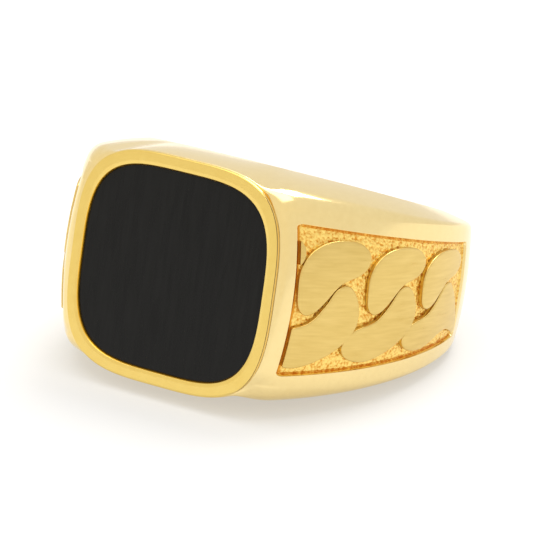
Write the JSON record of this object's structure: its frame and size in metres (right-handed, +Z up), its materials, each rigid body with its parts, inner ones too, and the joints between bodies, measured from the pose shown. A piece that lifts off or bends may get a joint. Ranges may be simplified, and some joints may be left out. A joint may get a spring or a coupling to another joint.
{
  "type": "signet ring",
  "caption": "Signet ring with a flat black cushion-shaped stone in a gold frame and flat curb links sunk into both tapering shoulders.",
  "frame": {"origin": "centre of the finger bore: on its axis, half way along it", "axes": "+Z is up with the ring lying on the lower rim of its band; +X runs across the table towards the shoulder whose links are called right; -Y is the side the table faces, and the table also looks 11.6 degrees upwards, because the finger bore leans that much from +Z towards +Y"},
  "size_m": [0.0254, 0.0279, 0.0157],
  "materials": {
    "band_gold": "polished yellow gold; the sunk fields on the shoulders are stippled",
    "bezel_gold": "fine satin yellow gold face with a polished edge",
    "link_gold": "satin yellow gold brushed along the band, polished edges",
    "onyx": "polished black onyx with a faint grain",
    "cement": "set epoxy, out of sight"
  },
  "bodies": {
    "root": {"shank": "band_gold", "bezel_plate": "bezel_gold", "onyx_inlay": "onyx", "stone_cement": "cement", "right_upper_link_0": "link_gold", "right_upper_link_1": "link_gold", "right_upper_link_2": "link_gold", "right_upper_link_3": "link_gold", "right_lower_link_1": "link_gold", "right_lower_link_2": "link_gold", "right_lower_link_3": "link_gold", "left_upper_link_0": "link_gold", "left_upper_link_1": "link_gold", "left_upper_link_2": "link_gold", "left_upper_link_3": "link_gold", "left_lower_link_1": "link_gold", "left_lower_link_2": "link_gold", "left_lower_link_3": "link_gold"}
  },
  "joints": []
}
